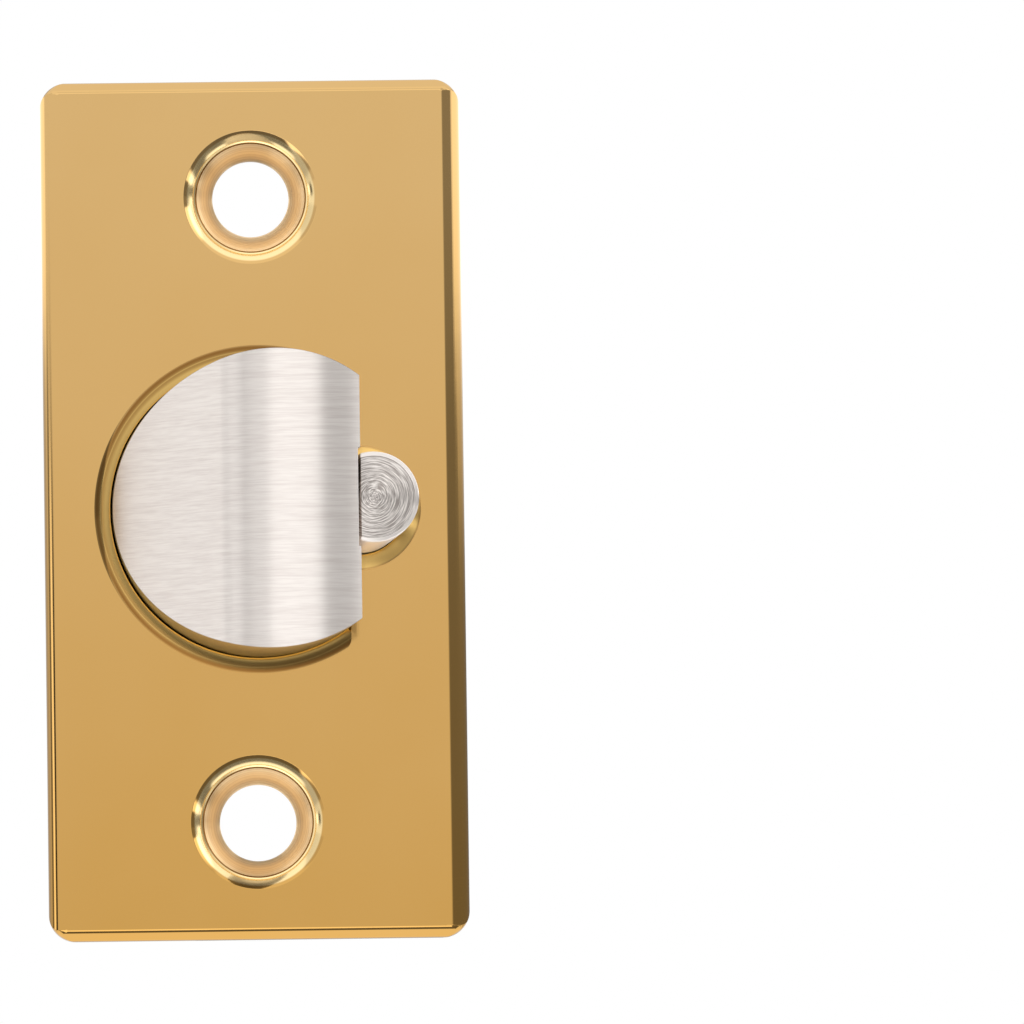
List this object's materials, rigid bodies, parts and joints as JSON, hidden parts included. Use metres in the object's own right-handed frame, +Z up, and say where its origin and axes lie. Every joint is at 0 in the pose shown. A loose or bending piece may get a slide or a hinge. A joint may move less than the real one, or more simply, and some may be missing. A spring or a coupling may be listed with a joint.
{
  "type": "deadlocking spring latch",
  "caption": "Spring latch for a cylindrical lock: brass faceplate, D-shaped stainless latchbolt, guard plunger beside its flat, and a round case with a pull tail behind.",
  "frame": {"origin": "centre of the faceplate's outer face", "axes": "+Z runs up the faceplate, +Y into the door away from the viewer, +X towards the flat side of the latchbolt; the case is turned 3.58 degrees about Z from +Y towards -X"},
  "size_m": [0.0285, 0.0784, 0.0574],
  "materials": {
    "polished_brass": "polished and lacquered",
    "stainless": "satin, brushed across the bolt",
    "zinc_plated_steel": "bright zinc plate on stamped steel",
    "die_cast_zinc": "as cast, tumbled",
    "spring_steel": "drawn wire and turned pins, oiled",
    "hardened_steel": "case hardened, dark"
  },
  "bodies": {
    "housing": {"faceplate": "polished_brass", "mounting_plate": "zinc_plated_steel", "barrel": "zinc_plated_steel", "bolt_guide": "die_cast_zinc", "bolt_spring": "spring_steel", "spring_washer": "zinc_plated_steel", "rear_guide": "die_cast_zinc", "guide_pins": "spring_steel", "prong_plate": "zinc_plated_steel", "prong_rivets": "spring_steel", "plunger_spring": "spring_steel", "dog_carrier": "zinc_plated_steel", "dog_pin": "spring_steel", "dog_spring": "spring_steel"},
    "bolt": {"latchbolt": "stainless", "tail_bar": "zinc_plated_steel", "tail_pin": "spring_steel"},
    "plunger": {"guard_plunger": "stainless", "plunger_slide": "zinc_plated_steel", "slide_rivets": "spring_steel"},
    "lever": {"dog": "hardened_steel"}
  },
  "joints": [
    {"name": "bolt_throw", "type": "slide", "parent": "housing", "child": "bolt", "axis": [-0.0624, 0.998, 0], "range_m": [0, 0.0127], "stiffness_N_per_m": 500, "springref_m": -0.012, "deforming": ["bolt_spring"]},
    {"name": "plunger_throw", "type": "slide", "parent": "housing", "child": "plunger", "axis": [-0.0624, 0.998, 0], "range_m": [0, 0.0114], "stiffness_N_per_m": 120, "springref_m": -0.012, "deforming": ["plunger_spring"]},
    {"name": "dog_swing", "type": "hinge", "parent": "housing", "child": "lever", "pos_m": [0.00498, 0.02935, 0], "axis": [0, 0, -1], "range_deg": [0, 7.8]}
  ],
  "couplings": [
    {"joint": "dog_swing", "follows": "plunger_throw", "rad_per_m": 11.94}
  ]
}
